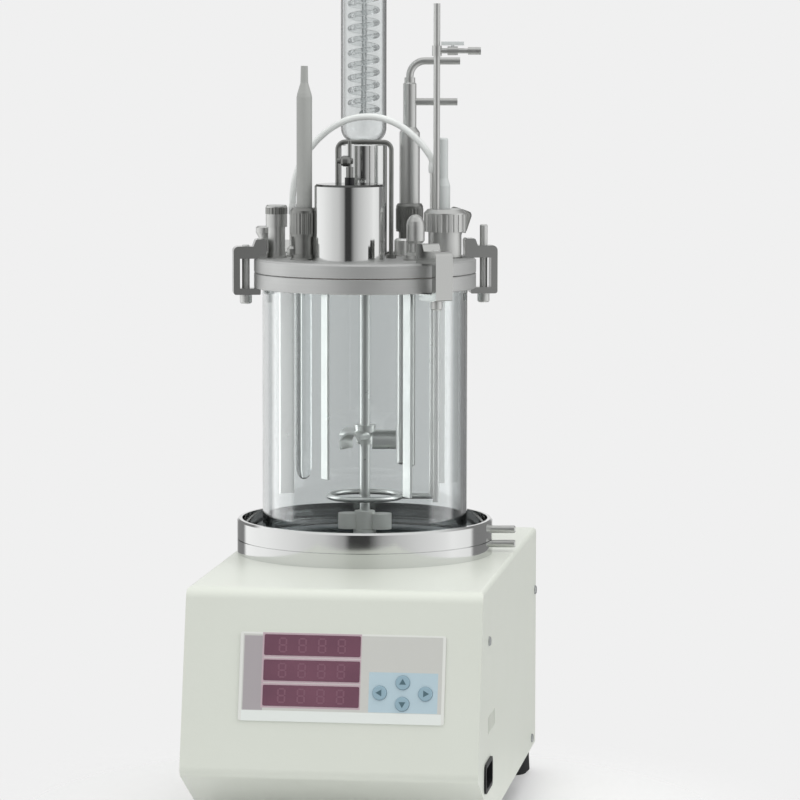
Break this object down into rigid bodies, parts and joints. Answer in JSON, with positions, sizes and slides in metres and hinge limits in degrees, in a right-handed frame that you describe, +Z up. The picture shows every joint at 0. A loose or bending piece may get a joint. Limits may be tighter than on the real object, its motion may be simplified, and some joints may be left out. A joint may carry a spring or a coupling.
{
  "type": "bench bioreactor",
  "caption": "Bench bioreactor: a clamped, magnetically stirred glass jar with probes and a condenser, on a cream control cabinet.",
  "frame": {"origin": "on the bench, below the middle of the whole outline", "axes": "+Z up, -Y towards the front panel, +X to the right seen from the front"},
  "size_m": [0.2232, 0.4085, 0.6875],
  "materials": {
    "painted_cover": "satin cream paint",
    "painted_panel": "satin cream paint",
    "zinc_plate": "zinc plated",
    "polished_steel": "polished stainless",
    "steel": "satin stainless",
    "dark_steel": "dull stainless",
    "clear_glass": "clear",
    "black_rubber": "matt",
    "red_silicone": "matt",
    "dark_rubber": "matt",
    "white_silicone": "translucent",
    "black_plastic": "matt",
    "white_plastic": "matt",
    "overlay": "matt film",
    "display": "dark plum lens",
    "key_blue": "light blue",
    "board": "green laminate",
    "motor_paint": "grey paint"
  },
  "bodies": {
    "base": {"housing_cover": "painted_cover", "chassis_base": "zinc_plate", "rear_panel": "painted_panel", "front_overlay": "overlay", "display_windows": "display", "feet": "black_rubber", "cover_screws": "steel", "side_grips": "black_plastic", "drive_motor": "motor_paint", "control_board": "board", "power_supply": "zinc_plate", "power_inlet": "black_plastic", "ring_base": "polished_steel", "ring_collar": "polished_steel", "heater_mat": "dark_rubber", "base_nipples": "steel", "glass_jar": "clear_glass", "jar_flange": "polished_steel", "head_seal": "red_silicone", "head_plate": "polished_steel", "clamp_frames": "steel", "top_bearing": "white_plastic", "bottom_pivot": "white_plastic", "baffle_cage": "steel", "sparger": "steel", "temperature_well": "steel", "lift_handle": "dark_steel", "filter_can": "polished_steel", "filter_fitting": "dark_steel", "condenser_cup": "polished_steel", "condenser_glass": "clear_glass", "condenser_coil": "clear_glass", "ph_electrode": "steel", "port_glands": "dark_steel", "spare_port": "steel", "parking_post": "steel", "tube_nipple": "steel", "silicone_tube": "white_silicone", "cooler_tube": "steel", "dome_port": "steel", "multi_port": "steel", "sample_tube": "steel", "stepped_sleeve": "white_plastic", "inoculation_port": "steel"},
    "stirrer": {"stirrer_shaft": "steel", "impeller": "steel", "magnet_foot": "white_plastic"},
    "yoke": {"drive_yoke": "steel"},
    "rocker": {"rocker_switch": "black_plastic"},
    "key_left_body": {"key_left": "key_blue"},
    "key_up_body": {"key_up": "key_blue"},
    "key_down_body": {"key_down": "key_blue"},
    "key_right_body": {"key_right": "key_blue"},
    "bolt_1": {"clamp_bolt_1": "steel"},
    "bolt_2": {"clamp_bolt_2": "steel"},
    "bolt_3": {"clamp_bolt_3": "steel"},
    "bolt_4": {"clamp_bolt_4": "steel"},
    "cock": {"sample_cock": "white_plastic"},
    "spare_cap": {"spare_port_cap": "dark_steel"},
    "inoculation_cap_body": {"inoculation_cap": "dark_steel"}
  },
  "joints": [
    {"name": "stirrer_spin", "type": "hinge", "parent": "base", "child": "stirrer", "pos_m": [-0.008, 0.036, 0.3], "axis": [0, 0, 1], "continuous": true},
    {"name": "yoke_spin", "type": "hinge", "parent": "base", "child": "yoke", "pos_m": [-0.008, 0.036, 0.194], "axis": [0, 0, 1], "continuous": true},
    {"name": "rocker_tilt", "type": "hinge", "parent": "base", "child": "rocker", "pos_m": [-0.06, 0.201, 0.091], "axis": [-1, 0, 0], "range_deg": [0, 24]},
    {"name": "key_left_press", "type": "slide", "parent": "base", "child": "key_left_body", "axis": [0, 0.9743, -0.2254], "range_m": [0, 0.0006], "stiffness_N_per_m": 400, "springref_m": -0.0002},
    {"name": "key_up_press", "type": "slide", "parent": "base", "child": "key_up_body", "axis": [0, 0.9743, -0.2254], "range_m": [0, 0.0006], "stiffness_N_per_m": 400, "springref_m": -0.0002},
    {"name": "key_down_press", "type": "slide", "parent": "base", "child": "key_down_body", "axis": [0, 0.9743, -0.2254], "range_m": [0, 0.0006], "stiffness_N_per_m": 400, "springref_m": -0.0002},
    {"name": "key_right_press", "type": "slide", "parent": "base", "child": "key_right_body", "axis": [0, 0.9743, -0.2254], "range_m": [0, 0.0006], "stiffness_N_per_m": 400, "springref_m": -0.0002},
    {"name": "clamp_bolt_1_turn", "type": "hinge", "parent": "base", "child": "bolt_1", "pos_m": [0.0566, -0.0309, 0.419], "axis": [0, 0, 1], "range_deg": [-360, 0]},
    {"name": "clamp_bolt_2_turn", "type": "hinge", "parent": "base", "child": "bolt_2", "pos_m": [0.08224, 0.0585, 0.419], "axis": [0, 0, 1], "range_deg": [-360, 0]},
    {"name": "clamp_bolt_3_turn", "type": "hinge", "parent": "base", "child": "bolt_3", "pos_m": [-0.0726, 0.1029, 0.419], "axis": [0, 0, 1], "range_deg": [-360, 0]},
    {"name": "clamp_bolt_4_turn", "type": "hinge", "parent": "base", "child": "bolt_4", "pos_m": [-0.09824, 0.0135, 0.419], "axis": [0, 0, 1], "range_deg": [-360, 0]},
    {"name": "cock_turn", "type": "hinge", "parent": "base", "child": "cock", "pos_m": [0.05999, 0.03786, 0.591], "axis": [0, 0, 1], "range_deg": [0, 90]},
    {"name": "spare_cap_turn", "type": "hinge", "parent": "base", "child": "spare_cap", "pos_m": [-0.076, 0.025, 0.4505], "axis": [0, 0, 1], "range_deg": [0, 360]},
    {"name": "inoculation_cap_turn", "type": "hinge", "parent": "base", "child": "inoculation_cap_body", "pos_m": [0.0594, 0.07678, 0.45587], "axis": [0.2926, 0.1771, 0.9397], "range_deg": [0, 360]}
  ],
  "couplings": [
    {"joint": "yoke_spin", "follows": "stirrer_spin", "ratio": 1}
  ]
}
